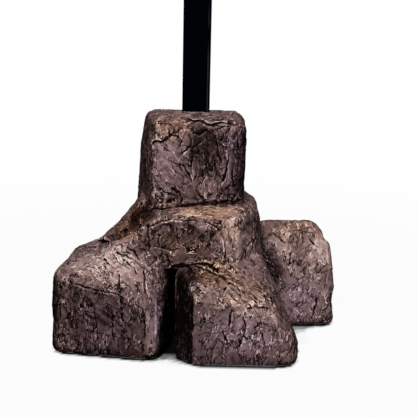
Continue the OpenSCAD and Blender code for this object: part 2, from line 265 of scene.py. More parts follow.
# Hand modelling. Each mark is a kind, its depth and width in millimetres, and the line that it follows.
MARKS = [
    # neck: torn edge across the upper left, its two dents, the long hollow down the middle
    ("flake", 2.2, 8, [(-45, -40, 183), (-40, -42, 186), (-36, -43, 185), (-32, -43, 189), (-28, -43, 192)]),
    ("flake", 1.2, 5, [(-33, -43, 187), (-29, -43, 190), (-24, -43, 190), (-21, -43, 187)]),
    ("hollow", 1.2, 9, [(3, -41, 198), (1, -43, 188), (-1, -43, 170), (0, -43, 154), (3, -43, 146)]),
    ("hollow", 1.4, 5, [(-9, -43, 194), (-4, -43, 191), (1, -43, 194)]),
    ("flake", 1.3, 5, [(2, -43, 194), (-4, -43, 189.5), (-9, -43, 193)]),
    ("crack", 1.2, 1.5, [(-13, -43, 191), (-10, -43, 187), (-11, -43, 180), (-9, -43, 176)]),
    ("flake", 1.3, 5, [(-3, -43, 184), (-9, -43, 178.5), (-14, -43, 180), (-19, -43, 174)]),
    ("flake", 1.5, 6, [(-15, -35, 205), (-9, -38, 202), (-3, -36, 204), (2, -39, 201), (8, -39, 200)]),
    ("crack", 1.0, 1.4, [(-30, -43, 168), (-24, -43, 165), (-19, -43, 160), (-13, -43, 154)]),
    ("crack", 1.0, 1.4, [(-22, -43, 166), (-16, -43, 163), (-12, -43, 157), (-10, -43, 151)]),
    ("crack", 1.3, 1.5, [(30, -42, 187), (31, -42, 181), (33, -40, 176)]),
    ("crack", 1.4, 1.6, [(26, -43, 160), (26, -43, 154), (28, -43, 147)]),
    ("crack", 1.1, 1.5, [(22, -43, 174), (20, -43, 161), (18, -43, 151)]),
    ("crack", 1.0, 1.5, [(11, -43, 184), (13, -43, 175), (15, -43, 169)]),
    ("flake", 1.5, 6, [(-45, -40, 156), (-42, -42, 149), (-38, -43, 143), (-34, -43, 139), (-27, -43, 138)]),
    ("crack", 1.3, 1.6, [(-27, -43, 143), (-21, -43, 139), (-18, -43, 134), (-19, -43, 130)]),
    ("crack", 1.0, 1.5, [(-3, -43, 138), (0, -43, 136), (2, -43, 132)]),
    ("flake", 1.0, 4, [(8, -39, 202), (15, -38, 204), (23, -38, 202)]),
    ("crack", 1.0, 1.4, [(10, -40, 201), (17, -41, 200), (22, -41, 201)]),
    # ledge under the neck and the recess below it
    (
        "crease",
        0.5,
        1.6,
        [(-46, -42, 123), (-34, -43, 125), (-20, -43, 128), (-2, -43, 130), (18, -43, 132), (33, -42, 133)],
    ),
    ("flake", 1.0, 4, [(20, -62, 86), (21, -63, 95), (18, -63, 106), (10, -63, 116), (2, -62, 120)]),
    ("flake", 1.1, 4, [(2, -62, 120), (-11, -62, 121), (-24, -62, 119.5), (-35, -61, 117), (-45, -58, 111)]),
    ("crack", 1.0, 1.4, [(12, -55, 118), (17, -57, 116), (18, -58, 113), (14, -58, 114)]),
    (
        "crease",
        2.4,
        2.2,
        [(-26, -65, 72), (-18, -66, 77), (-5, -67, 80), (5, -72, 78), (14, -77, 74), (22, -80, 72)],
    ),
    ("crease", 1.0, 2.0, [(-26, -62, 76), (-16, -62, 79), (-4, -63, 82), (6, -66, 82), (14, -72, 79)]),
    ("crack", 1.3, 1.5, [(14, -77, 74), (22, -82, 71), (31, -85, 68), (34, -88, 63)]),
    ("crack", 1.2, 1.5, [(25, -83, 69), (21, -90, 65), (19, -93, 62)]),
    # left foot: the notch on its flank, the torn skin on its top and the strokes down its face
    ("crease", 1.2, 1.8, [(-96, -14, 85), (-90, -22, 87), (-85, -30, 88), (-81, -36, 90)]),
    ("crack", 0.9, 1.5, [(-81, -36, 90), (-77, -43, 93), (-71, -48, 98), (-64, -50, 102)]),
    ("flake", 1.4, 5, [(-29, -59, 90), (-35, -59, 92), (-42, -54, 93), (-50, -54, 93)]),
    ("crack", 1.2, 1.5, [(-56, -50, 109), (-50, -50, 110), (-44, -51, 109)]),
    ("crack", 1.2, 1.5, [(-65, -59, 91), (-59, -58, 88), (-55, -59, 83)]),
    ("crack", 1.1, 1.5, [(-31, -59, 86), (-28, -60, 80)]),
    ("crack", 1.1, 1.5, [(-86, -60, 82), (-81, -67, 79)]),
    ("flake", 1.2, 5, [(-56, -65, 78), (-60, -62, 81), (-67, -61, 85), (-75, -60, 86)]),
    ("crack", 1.2, 1.6, [(-71, -75, 72), (-70, -81, 67), (-68, -87, 61)]),
    ("crack", 1.2, 1.6, [(-50, -69, 73), (-49, -77, 64), (-47, -83, 55)]),
    ("crack", 1.2, 1.5, [(-65, -64, 80), (-59, -68, 76), (-56, -72, 72)]),
    ("flake", 0.9, 5, [(-71, -92, 60), (-86, -90, 62), (-99, -88, 64), (-112, -86, 68)]),
    ("crack", 0.5, 1.3, [(-71, -92, 61), (-57, -94, 54), (-49, -95, 49)]),
    ("crack", 0.6, 1.5, [(-91, -89, 46), (-89, -90, 31), (-88, -91, 20)]),
    ("flake", 0.9, 5, [(-66, -93, 36), (-67, -92, 46), (-68, -91, 56)]),
    ("crack", 0.6, 1.4, [(-75, -92, 40), (-75, -92, 28), (-74, -92, 20)]),
    ("crack", 0.5, 1.6, [(-48, -95, 48), (-46, -96, 33), (-48, -96, 12)]),
    ("crack", 1.0, 1.4, [(-122, -84, 46), (-121, -84, 36)]),
    # front foot
    ("crack", 1.1, 1.5, [(-12, -82, 67), (-10, -88, 64), (-9, -92, 61)]),
    ("flake", 1.4, 5, [(40, -97, 51), (46, -94, 52), (53, -92, 49)]),
    ("crack", 1.2, 1.5, [(27, -104, 53), (26, -105, 45), (25, -105, 40)]),
    ("crack", 1.2, 1.5, [(55, -82, 55), (59, -84, 52), (61, -87, 48)]),
    ("crack", 1.1, 1.5, [(37, -103, 46), (39, -104, 38), (38, -104, 31), (34, -105, 20)]),
    ("crack", 1.0, 1.5, [(53, -104, 32), (56, -104, 24)]),
    # right foot
    ("hollow", 0.8, 8, [(97, 22, 92), (95, 8, 78), (92, -7, 62)]),
    ("crack", 1.1, 1.5, [(113, -8, 29), (111, -8, 19), (109, -9, 10)]),
    ("crack", 1.0, 1.4, [(105, 15, 84), (108, 12, 79), (112, 8, 76)]),
    ("flake", 1.3, 5, [(74, -8, 60), (69, -6, 64), (64, -5, 67)]),
    ("crack", 1.0, 1.4, [(72, 16, 84), (76, 14, 82), (80, 11, 80)]),
    ("crack", 1.0, 1.4, [(87, 3, 73), (85, -6, 65)]),
]

# How many times a line is wider than a hair crack.
LINE_SHARE = {"crack": 1.3, "flake": 1.3, "crease": 3.0}


def settled(points):
    """The line through the points, laid down on the skin in steps of about 3 mm."""
    line = [np.array(points[0], float)]
    for start, end in zip(points[:-1], points[1:]):
        start, end = np.array(start, float), np.array(end, float)
        steps = max(1, round(np.linalg.norm(end - start) / 3))
        line += [start + (end - start) * step / steps for step in range(1, steps + 1)]
    return [tuple(tree.find_nearest(Vector(point))[0]) for point in line]


def modelled(clay, marks):
    """Height of the hand marks, the signed distance to the nearest line, and how deep that line is cut."""
    count = len(clay.at)
    height, nearest, signed_line = np.zeros(count), np.full(count, 1e9), np.full(count, 9.0)
    cut, fading = np.zeros(count), np.zeros(count)
    shaken = np.stack([lumps(clay.at, 6, 11), lumps(clay.at, 6, 12), lumps(clay.at, 6, 13)], 1)
    still = clay.at
    clay.at = still + 1.1 * shaken
    for kind, depth, width, points in marks:
        near, away, side = stroke(clay, settled(points), width * 3 + 2)
        signed = away * side
        if kind == "flake":
            raised = ramp(signed, -0.6, 0.7) * np.exp(-np.maximum(signed, 0) / width)
            sunk = ramp(-signed, -0.6, 0.7) * np.exp(-np.maximum(-signed, 0) / (width * 0.6))
            height[near] += depth * (0.45 * raised - 0.75 * sunk)
        else:
            height[near] -= depth * np.exp(-((away / width) ** 2))
        if kind != "hollow":
            closer = away < nearest[near]
            spot = near[closer]
            nearest[spot] = away[closer]
            signed_line[spot] = signed[closer] / LINE_SHARE[kind]
            cut[spot] = min(1.0, depth) * (1 - ramp(away[closer] / LINE_SHARE[kind], 1.3, 2.2))
            fading[spot] = kind != "crease"
    clay.at = still
    cut *= 1 - 0.75 * fading * (1 - ramp(lumps(still, 8, 95), -0.35, 0.15))
    return height, signed_line, cut


# Broad sags and lumps of the built-up master come first, and never reach past its straight sides.
at = clay.at
hand = free * outside * (0.1 + 0.9 * ramp(at[:, 2], 3, 12))
broad = 1.0 * lumps(at, 46, 1) + 0.6 * lumps(at, 21, 2)
broad += 3.2 * patch((92, 26, 94), (50, 24, 18)) + 1.8 * patch((-131, -60, 60), (14, 54, 36))
broad += 2.6 * patch((130, 14, 58), (14, 44, 40))
clay.push(hand * broad + (free * (1 - outside)) * 0.8 * lumps(at, 16, 3))
marked, line_side, line_cut = modelled(clay, MARKS)
clay.push(hand * marked)


# Torn skin: flat pats of filler, each pressed on at its own tilt, with an edge standing where two meet.
def pats(at, size, seed):
    """Height of the pats, in sizes, and how far each point is from the edge of its own."""
    cell = np.floor(at / size).astype(np.int64)
    nearest, second = np.full(len(at), 1e9), np.full(len(at), 1e9)
    height = np.zeros(len(at))
    for step in np.ndindex(3, 3, 3):
        home = cell + np.array(step) - 1
        x, y, z = home.T.astype(np.uint32)
        mix = x * np.uint32(374761393) + y * np.uint32(668265263) + z * np.uint32(2246822519)
        mix = (mix + np.uint32(seed * 131)) * np.uint32(1274126177)
        mix = (mix ^ (mix >> np.uint32(15))) * np.uint32(2654435761)
        mix = mix ^ (mix >> np.uint32(13))
        parts = [(mix >> np.uint32(shift)) & np.uint32(1023) for shift in (0, 11, 21)]
        site = np.stack(parts, 1) / 1023
        turned = mix * np.uint32(2246822519)
        turned = turned ^ (turned >> np.uint32(14))
        parts = [(turned >> np.uint32(shift)) & np.uint32(1023) for shift in (1, 10, 20)]
        tilt = np.stack(parts, 1) / 511.5 - 1
        offset = at / size - home - site
        away = np.linalg.norm(offset, axis=1)
        closer = away < nearest
        second = np.where(closer, nearest, np.minimum(second, away))
        nearest = np.where(closer, away, nearest)
        height = np.where(closer, (tilt * offset).sum(1), height)
    return height, second - nearest


at = clay.at
twist = np.stack([lumps(at, 9, 21), lumps(at, 9, 22), lumps(at, 9, 23)], 1)
ripple = np.stack([lumps(at, 3.5, 51), lumps(at, 3.5, 52), lumps(at, 3.5, 53)], 1)
BIG_PAT, SMALL_PAT = 24, 9
big_height, big_edge = pats(at + 5 * twist + 1.6 * ripple, BIG_PAT, 61)
small_height, small_edge = pats(at + 2 * twist + 1.4 * ripple, SMALL_PAT, 62)
torn = ramp(lumps(at, 24, 26) + 0.5 * lumps(at, 9, 27), 0.0, 0.35)
small_torn = ramp(lumps(at, 14, 36) + 0.4 * lumps(at, 6, 37), 0.12, 0.4)
creased = (1 - ramp(big_edge, 0.01, 0.06)) * torn
small_creased = (1 - ramp(small_edge, 0.02, 0.12)) * small_torn


def combed(at, stretch, size, seed):
    """Fine wrinkles that run along one direction, as a stiff trowel drags them."""
    along = np.array(stretch) / np.linalg.norm(stretch)
    run = at @ along
    pressed = at - 0.78 * run[:, None] * along
    shaken = np.stack([lumps(at, 3 * size, seed + k) for k in (1, 2, 3)], 1)
    return lumps(pressed + 0.5 * size * shaken, size, seed)


steer = lumps(at, 38, 71)
upright = 1 - ramp(abs(steer), 0.05, 0.25)
wrinkle = upright * combed(at, (0.05, 0.2, 1), 2.6, 81)
wrinkle += ramp(steer, 0.05, 0.25) * combed(at, (1, 0.2, 0.9), 2.8, 85)
wrinkle += ramp(-steer, 0.05, 0.25) * combed(at, (-1, 0.3, 0.8), 2.8, 89)
trowel = lumps(at, 7, 41) * 0.25 + wrinkle * 0.42 * ramp(lumps(at, 19, 44), -0.6, 0.2)
skin = 0.9 * torn * big_height + 0.5 * small_torn * small_height + trowel
skin -= 0.3 * creased + 0.2 * small_creased
clay.push(hand * skin + free * (1 - outside) * 0.25 * lumps(at, 5, 43))

# Nothing of the skin stands past the block that it is trowelled on.
for axis in range(3):
    clay.at[:, axis] = np.clip(clay.at[:, axis], rock_low[axis] / MM, rock_high[axis] / MM)
clay.write()

# Where the paint goes: washes lie in the hollows and the dry brush catches what stands proud, and painted
# shade and painted highlight are laid over them.
lean = ((clay.around(clay.at) - clay.at) * clay.out).sum(1)
sharp = clay.softened(lean, 2)
bowl = ((clay.softened(clay.at, 40) - clay.at) * clay.out).sum(1)

# No brush stops in an even curve, so the outlines of the patches of paint, painted shade and painted
# highlight wander.
unsteady = np.stack(
    [3 * lumps(clay.at, 22, seed) + 2 * lumps(clay.at, 8, seed + 3) for seed in (101, 102, 103)], 1
)


def laid(*patches):
    """Several patches of one paint, painted shade or painted highlight over each other, each with its
    strength, centre and radii.
    """
    total = np.zeros(len(clay.at))
    for strength, centre, radii in patches:
        total = np.maximum(total, strength * patch(centre, radii, unsteady, 0.4))
    return total


earth = laid(
    (1.0, (12, -74, 74), (34, 26, 16)),
    (0.8, (0, -48, 124), (50, 18, 9)),
    (1.0, (-62, -32, 106), (34, 34, 28)),
    (0.5, (45, -80, 62), (20, 26, 16)),
    (0.5, (30, -95, 59), (34, 11, 10)),
    (0.6, (20, -60, 112), (18, 16, 18)),
    (0.7, (-12, -60, 98), (36, 14, 20)),
    (0.7, (-50, -45, 122), (18, 22, 20)),
    (0.6, (-28, -40, 199), (26, 18, 14)),
    (0.5, (90, 30, 95), (44, 40, 20)),
    (0.6, (0, 60, 110), (60, 40, 24)),
)
violet = laid(
    (1.0, (-38, -84, 34), (14, 18, 34)),
    (0.6, (-85, -92, 34), (48, 12, 36)),
    (0.7, (30, -105, 26), (52, 12, 30)),
    (0.9, (30, -42, 170), (20, 16, 40)),
    (0.7, (95, -10, 30), (45, 16, 30)),
    (0.6, (-30, -43, 160), (24, 12, 28)),
    (0.5, (-20, 100, 40), (60, 30, 30)),
)
# Pale: the dry brush, and painted highlight on the tops and faces that the light falls on.
pale = laid(
    (1.0, (-80, -66, 80), (44, 34, 20)),
    (0.5, (-56, -72, 70), (22, 24, 20)),
    (1.3, (26, -62, 106), (13, 12, 24)),
    (0.3, (34, -86, 62), (40, 24, 14)),
    (0.5, (10, -90, 66), (12, 8, 7)),
    (0.7, (27, -97, 60), (14, 9, 8)),
    (0.7, (44, -97, 53), (14, 10, 8)),
    (0.6, (62, -97, 44), (14, 11, 9)),
    (0.6, (88, 8, 84), (30, 30, 26)),
    (0.9, (116, 6, 74), (22, 32, 26)),
    (0.5, (100, -8, 42), (34, 14, 30)),
    (0.6, (-32, -43, 176), (20, 12, 30)),
    (1.0, (-37, -91, 32), (12, 13, 36)),
    (0.9, (100, -10, 34), (38, 14, 36)),
    (0.5, (44, -46, 92), (10, 20, 30)),
    (0.5, (34, -105, 32), (50, 10, 26)),
    (0.1, (2, -43, 140), (24, 12, 10)),
    (0.85, (4, -52, 125), (44, 16, 8)),
    (0.3, (30, -105, 30), (44, 10, 26)),
    (0.5, (10, 60, 100), (50, 50, 30)),
    (0.4, (50, 0, 170), (14, 40, 30)),
    (0.4, (-10, 46, 170), (40, 12, 30)),
    (0.4, (-90, 24, 60), (30, 14, 20)),
    (0.5, (-90, 0, 78), (34, 30, 16)),
)
shaded = laid(
    (0.4, (-10, -60, 98), (38, 16, 20)),
    (1.3, (3, -44, 178), (21, 12, 40)),
    (0.35, (48, -44, 96), (13, 26, 40)),
    (0.4, (-4, -104, 32), (15, 12, 36)),
    (1.2, (34, -43, 165), (14, 20, 52)),
    (0.5, (62, -30, 60), (14, 30, 44)),
    (0.4, (-44, -56, 100), (24, 20, 20)),
    (0.5, (-60, -40, 112), (22, 20, 16)),
    (0.55, (16, -88, 67), (26, 14, 13)),
    (0.3, (-104, -46, 78), (18, 26, 14)),
)
# Deep: the darkest painted shade, in the slot, under the ledge and in the joins between the feet.
deep = laid(
    (1.0, (-14, -78, 40), (13, 34, 44)),
    (1.15, (-11, -76, 73), (16, 20, 16)),
    (0.9, (-18, -64, 78), (16, 10, 9)),
    (0.9, (66, -6, 48), (12, 22, 46)),
    (0.4, (95, 12, 81), (7, 18, 18)),
    (0.9, (-132, -70, 36), (13, 34, 50)),
    (0.3, (-58, -14, 176), (14, 40, 60)),
    (1.0, (-56, -42, 118), (24, 20, 19)),
    (0.7, (-26, -62, 72), (12, 18, 14)),
    (0.2, (-8, -43, 129), (50, 8, 5)),
    (0.6, (-24, -70, 64), (9, 30, 22)),
)

# Which way the skin was dragged: level along ledges, slanting down the left, and upright elsewhere.
level = laid(
    (1.0, (0, -50, 126), (56, 22, 12)),
    (1.0, (-6, -36, 203), (50, 20, 12)),
    (0.7, (-10, -62, 84), (34, 12, 14)),
    (0.8, (0, 20, 209), (60, 60, 12)),
)
slanting = laid(
    (1.0, (-30, -43, 160), (24, 12, 42)),
    (1.0, (-76, -60, 80), (50, 50, 26)),
    (1.0, (24, -84, 66), (44, 34, 20)),
    (0.9, (-60, -30, 108), (30, 40, 26)),
)

# Painted shade: faces that look sideways or down, and the last few millimetres over the floor, are painted
# darker.
broad_out = np.stack([clay.softened(clay.out[:, axis], 6) for axis in range(3)], 1)
faces_up = ramp(broad_out[:, 2], 0.15, 0.55)
# The left foot's front face is darker, and its texture calmer.
left_face = ramp(-broad_out[:, 1], 0.55, 0.8) * (1 - faces_up)
left_face = left_face * ramp(-clay.at[:, 0], 44, 48) * (clay.at[:, 2] < 76)
# Painted shade on the front foot's left side and on the sides of the slot between the feet.
front_side = ramp(FACE_EDGE - clay.at[:, 0], -0.6, 0.8) * (clay.at[:, 0] > -30) * (clay.at[:, 1] < -62)
front_side *= 1 - ramp(clay.at[:, 2], 58, 68)
slot_side = ramp(clay.at[:, 0], -39, -31) * (clay.at[:, 0] < -30) * ramp(-clay.at[:, 1], 48, 60)
slot_side *= 1 - ramp(clay.at[:, 2], 66, 84)
sideways = ramp(abs(broad_out[:, 0]), 0.45, 0.95)
downwards = ramp(-broad_out[:, 2], 0.0, 0.5)
low_shade = 1 - ramp(clay.at[:, 2], 3, 15)
cloudy = 0.6 * lumps(clay.at, 30, 91) + 0.4 * lumps(clay.at, 13, 92)
# Painted shade along the foot of the neck, under its overhang.
neck_foot = laid((1.0, (-6, -43, 139), (40, 12, 9)))
darkest = np.maximum(deep, np.maximum(0.9 * front_side, 0.5 * slot_side))
# Painted light: faces that look up take more of the pale and less of the shade.
tone = 0.50 + 0.28 * pale * (0.7 + 0.3 * faces_up) - 0.27 * shaded * (1 - 0.8 * faces_up)
tone = tone - 0.22 * sideways - 0.2 * downwards - 0.18 * low_shade
tone -= 0.17 * left_face + 0.34 * darkest
tone -= 0.10 * neck_foot
# Painted shade in the broad hollows of the casting, and a random cloudy tone.
tone += 0.07 * cloudy - 0.30 * ramp(bowl, 0.3, 2.2)

for name, values in {
    "tone": tone,
    "proud": np.clip(-sharp / 0.10, 0, 1),
    "sunk": np.clip(sharp / 0.10, 0, 1),
    "line_side": line_side,
    "line_cut": line_cut * outside,
    "wrinkle": wrinkle,
    "sky": sky,
    "inside": 1 - outside,
    "calm": left_face,
    "level": level,
    "slanting": slanting,
    "earth": earth,
    "violet": violet,
}.items():
    layer = rock.data.attributes.new(name, "FLOAT", "POINT")
    layer.data.foreach_set("value", values.astype(np.float32))


class Link:
    """A socket in a material. Sums on it add Math nodes, and node() adds any node."""

    def __init__(self, tree, socket=None):
        self.tree, self.socket = tree, socket

    def node(self, kind, settings, inputs, output=0):
        """A new node: its type, its settings, the values or links of its sockets, and what it gives."""
        made = self.tree.nodes.new(kind)
        for name, value in settings.items():
            setattr(made, name, value)
        for key, value in inputs.items():
            made_in = made.inputs[key]
            if isinstance(value, Link):
                self.tree.links.new(value.socket, made_in)
            else:
                made_in.default_value = value
        return Link(self.tree, made.outputs[output])

    def sum(self, operation, first, second=0.0):
        """A Math node on two values or links."""
        settings = {"operation": operation}
        return self.node("ShaderNodeMath", settings, {0: first, 1: second})

    def __add__(self, other):
        return self.sum("ADD", self, other)

    def __mul__(self, other):
        return self.sum("MULTIPLY", self, other)

    def __sub__(self, other):
        return self.sum("SUBTRACT", self, other)

    def __rsub__(self, other):
        return self.sum("SUBTRACT", other, self)

    __radd__, __rmul__ = __add__, __mul__

    def between(self, low, high):
        """0 where this is low and 1 where it is high, softly."""
        inputs = {"Value": self, "From Min": low, "From Max": high}
        return self.node("ShaderNodeMapRange", {"interpolation_type": "SMOOTHSTEP"}, inputs)

    def over(self, below, colour):
        """A colour laid over the one below, as thick as this link says."""
        return self.node("ShaderNodeMix", {"data_type": "RGBA"}, {0: self, 6: below, 7: colour}, 2)

    def field(self, name):
        """A value that was laid on the points of the mesh."""
        return self.node("ShaderNodeAttribute", {"attribute_name": name}, {}, "Fac")

    def place(self):
        """The point of the object itself, in metres."""
        return self.node("ShaderNodeTexCoord", {}, {}, "Object")

    def grain(self, vector, scale, detail=3.0, rough=0.55, warp=0.0):
        """Noise with about scale grains to the metre."""
        inputs = {"Vector": vector, "Scale": scale, "Detail": detail, "Roughness": rough, "Distortion": warp}
        return self.node("ShaderNodeTexNoise", {}, inputs, "Fac")

    def bump(self, height, distance, strength=1.0, normal=None):
        """A normal raised by the height times the distance in metres, on top of another normal."""
        inputs = {"Height": height, "Distance": distance, "Strength": strength}
        if normal:
            inputs["Normal"] = normal
        return self.node("ShaderNodeBump", {}, inputs)


def finish_named(name):
    """An empty material: the material, a link to start from, and its shader's sockets."""
    material = bpy.data.materials.new(name)
    material.use_nodes = True
    shader = material.node_tree.nodes["Principled BSDF"]
    return material, Link(material.node_tree), shader


def feed(shader, **links):
    """Joins links, or sets plain values, to a shader's sockets. Spaces in a name are written as _."""
    for name, value in links.items():
        socket = shader.inputs[name.replace("_", " ")]
        if isinstance(value, Link):
            value.tree.links.new(value.socket, socket)
        else:
            socket.default_value = value


def rgb(red, green, blue):
    """A solid colour."""
    return (red, green, blue, 1.0)


def painted_stone():
    """Mauve body colour, dark wash in the cracks, earth and violet glazes and a pale dry brush, with painted
    shade and painted highlight over them.
    """
    material, link, shader = finish_named("painted_stone")
    place = link.place()
    field = link.field
    cloud = link.grain(place, 26, 4, 0.6)
    blot = link.grain(place, 95, 4, 0.6, 0.6)
    speck = link.grain(place, 620, 3, 0.6)
    drag = link.grain(place, 260, 5, 0.65, 1.2)

    def wandering(amount, scale):
        """The place, shaken so that straight cracks bend."""
        shake = link.node("ShaderNodeTexNoise", {}, {"Vector": place, "Scale": scale, "Detail": 3.0}, "Color")
        settings = {"operation": "MULTIPLY_ADD"}
        return link.node("ShaderNodeVectorMath", settings, {0: shake, 1: (amount,) * 3, 2: place})

    def cracks(scale, width, shaken, kept):
        """Thin broken lines between plates: 1 in the line. Kept is the share of the noise that keeps them."""
        settings, inputs = {"feature": "DISTANCE_TO_EDGE"}, {"Vector": shaken, "Scale": scale}
        plates = link.node("ShaderNodeTexVoronoi", settings, inputs, "Distance")
        patchy = link.grain(place, scale * 0.8, 2, 0.5).between(kept, kept + 0.07)
        return (1 - plates.between(0.0, width * scale)) * patchy

    long_cracks = cracks(46, 0.0005, wandering(0.020, 60), 0.55)
    short_cracks = cracks(110, 0.0004, wandering(0.010, 140), 0.52)
    hair = link.sum("MAXIMUM", long_cracks, short_cracks * 0.85)

    def dragged(along, scale):
        """Noise drawn out along one direction, as a stiff trowel drags the skin."""
        loose = wandering(0.012, 30)
        run = link.node("ShaderNodeVectorMath", {"operation": "DOT_PRODUCT"}, {0: loose, 1: along}, "Value")
        squeeze = tuple(-0.78 * part for part in along)
        settings = {"operation": "MULTIPLY_ADD"}
        drawn = link.node("ShaderNodeVectorMath", settings, {0: squeeze, 1: run, 2: loose})
        return link.grain(drawn, scale, 3, 0.6, 0.3)

    def skin(scale):
        """The dragged skin, each part of the casting with its own direction."""
        upright = dragged((0.08, 0.33, 0.94), scale)
        slant = dragged((0.74, -0.30, -0.60), scale)
        flat = dragged((0.99, 0.10, 0.05), scale)
        mixed = upright + (slant - upright) * field("slanting")
        return mixed + (flat - mixed) * field("level")

    def torn(height, width):
        """The painted shadow at the foot and the painted highlight on the lip of the torn edges where a skin
        crosses its middle height.
        """
        side = (height - 0.5) * (1 / width)
        foot = 1 - link.sum("ABSOLUTE", side + 0.5).between(0.0, 1.0)
        lip = 1 - link.sum("ABSOLUTE", side - 0.8).between(0.0, 1.0)
        return foot, lip

    broad_skin, fine_skin = skin(120), skin(240)
    foot, lip = torn(broad_skin, 0.024)
    fine_foot, fine_lip = torn(fine_skin, 0.05)
    broken = link.grain(place, 70, 3, 0.6).between(0.42, 0.58)
    fine_broken = link.grain(place, 85, 2, 0.5).between(0.40, 0.58)

    side = field("line_side")
    cut = field("line_cut")
    # Along the modelled lines: dark in the cut, partly wash and partly painted shade, with a painted
    # highlight on the raised side.
    dark_line = (1 - link.sum("ABSOLUTE", side + 0.25).between(0.25, 0.75)) * cut
    pale_line = (1 - link.sum("ABSOLUTE", side - 0.85).between(0.1, 0.6)) * cut

    lively = 1 - field("calm") * 0.45
    tone = field("tone") + ((fine_skin - 0.5) * 0.20 + (blot - 0.5) * 0.18 + (speck - 0.5) * 0.28) * lively
    # Painted highlight on the lips and painted shadow at the feet of the torn edges.
    tone = tone + (lip * 0.42 - foot * 0.66) * broken + (fine_lip * 0.26 - fine_foot * 0.38) * fine_broken
    # Lighter on what stands proud and darker in what is sunk: partly dry brush and wash, partly painted
    # highlight and painted shade.
    tone = tone + field("wrinkle") * 0.10 + field("proud") * 0.11 - field("sunk") * 0.13
    # The hair cracks are dark, partly wash and partly painted shade.
    tone = tone - hair * 0.36 - dark_line * 0.7 + pale_line * 0.24
    # Painted shade: darker where the skin sees little of the sky.
    tone = tone - (1 - field("sky").between(0.05, 0.70)) * 0.40
    body = link.node("ShaderNodeValToRGB", {}, {"Fac": tone}, "Color")
    shades = body.socket.node.color_ramp.elements
    shades[0].position, shades[0].color = 0.02, rgb(0.0040, 0.0024, 0.0024)
    shades[1].position, shades[1].color = 1.0, rgb(0.62, 0.475, 0.43)
    shades.new(0.25).color = rgb(0.034, 0.0185, 0.0180)
    shades.new(0.5).color = rgb(0.125, 0.077, 0.075)
    shades.new(0.74).color = rgb(0.29, 0.189, 0.172)

    def tinted(below, amount, tint):
        """A thin glaze of a colour over what is below."""
        settings = {"data_type": "RGBA", "blend_type": "MULTIPLY"}
        return link.node("ShaderNodeMix", settings, {0: amount, 6: below, 7: tint}, 2)

    body = tinted(body, field("violet") * 0.9, rgb(0.90, 0.86, 1.10))
    body = tinted(body, field("earth") * cloud.between(0.25, 0.55), rgb(1.06, 0.92, 0.66))
    height = place.node("ShaderNodeSeparateXYZ", {}, {0: place}, "Z")
    # Painted sheen: a blue-grey reflection of the floor, painted in patches along the bottom few millimetres
    # of the outside.
    rim_sheen_patches = link.grain(place, 120, 3).between(0.38, 0.5)
    rim_sheen = (1 - height.between(0.0024, 0.0038)) * rim_sheen_patches * (1 - field("inside"))
    body = (rim_sheen * 0.85).over(body, rgb(0.26, 0.27, 0.33))
    # Painted shade: the inside of the shell is painted near black.
    body = field("inside").over(body, rgb(0.010, 0.008, 0.007))

    relief = link.bump(broad_skin.between(0.46, 0.54) * broken, 0.0007, 0.9)
    relief = link.bump(fine_skin.between(0.42, 0.58) * fine_broken, 0.0004, 0.9, relief)
    relief = link.bump(speck, 0.0004, 0.5, relief)
    relief = link.bump(1 - hair, 0.0012, 1.0, relief)
    relief = link.bump(1 - dark_line, 0.0014, 1.0, relief)
    feed(shader, Base_Color=body, Normal=relief, Roughness=drag * 0.25 + 0.45)
    feed(shader, Specular_IOR_Level=0.0)
    return material


rock.data.materials.clear()
rock.data.materials.append(painted_stone())
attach(rock, "rock")
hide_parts("rock_shell")


def dress(node, material):
    """Gives a piece of the frame its material."""
    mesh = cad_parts[node].data
    for index in range(len(mesh.materials)):
        mesh.materials[index] = material


# Post: a length of square steel tube with rounded corners, powder coated black.
# It stands in the socket by its own weight and lifts straight out.
def powder_coat():
    """Black with a fine orange peel and faint scuffs, and a thin painted highlight along its right corner."""
    material, link, shader = finish_named("black_powder_coat")
    place = link.place()
    peel = link.grain(place, 900, 2, 0.5)
    scuff = link.grain(place, 45, 4, 0.6).between(0.55, 0.75)
    colour = scuff.over(rgb(0.0003, 0.0006, 0.0014), rgb(0.0008, 0.0014, 0.0028))
    # Painted highlight: a thin paler line along the right corner of the tube.
    across = place.node("ShaderNodeSeparateXYZ", {}, {0: place}, "X") - post_x * MM
    corner = 1 - link.sum("ABSOLUTE", across - (post_half - 2.2) * MM).between(0.0002, 0.0009)
    corner_highlight = corner * link.grain(place, 24, 2).between(0.35, 0.6)
    colour = (corner_highlight * 0.8).over(colour, rgb(0.020, 0.022, 0.028))
    feed(shader, Base_Color=colour, Roughness=scuff * 0.08 + 0.30, Normal=link.bump(peel, 0.00012, 0.35))
    feed(shader, Specular_IOR_Level=0.0)
    return material


dress("post_tube", powder_coat())


# Post plugs: two moulded polyethylene caps that close the cut ends of the tube.
# Each has a head as wide as the tube and a hollow stub that is pressed into it.
def moulded_black():
    """Black polyethylene with a fine matt grain."""
    material, link, shader = finish_named("moulded_black")
    fine = link.grain(link.place(), 1400, 2, 0.6)
    colour = fine.between(0.3, 0.7).over(rgb(0.007, 0.007, 0.008), rgb(0.012, 0.012, 0.014))
    feed(shader, Base_Color=colour, Roughness=fine * 0.2 + 0.45, Normal=link.bump(fine, 0.0001, 0.5))
    feed(shader, Specular_IOR_Level=0.3)
    return material


plug_black = moulded_black()
dress("post_top_plug", plug_black)
dress("post_bottom_plug", plug_black)


